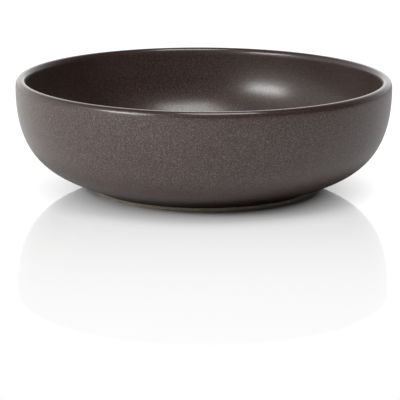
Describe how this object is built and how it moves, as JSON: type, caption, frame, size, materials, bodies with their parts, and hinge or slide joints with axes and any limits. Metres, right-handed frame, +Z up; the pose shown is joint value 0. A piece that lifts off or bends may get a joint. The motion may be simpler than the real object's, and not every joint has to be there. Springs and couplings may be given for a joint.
{
  "type": "bowl",
  "caption": "Low wide round stoneware bowl, dark speckled glaze inside and out over a rounded lip, standing on a narrow bare clay foot ring, for serving food.",
  "frame": {"origin": "on the table plane, under the middle of the foot ring", "axes": "+Z up, along the axis that the bowl is turned about; +X and +Y are equal"},
  "size_m": [0.2, 0.2, 0.0596],
  "materials": {
    "fired_clay": "bare fired stoneware, greyish tan, dry and slightly gritty",
    "dark_glaze": "satin umber-brown glaze with very fine pale speckle, thinner and browner on the lip"
  },
  "bodies": {
    "root": {"clay_body": "fired_clay", "foot_ring": "fired_clay", "glaze_coat": "dark_glaze", "base_glaze": "dark_glaze"}
  },
  "joints": []
}
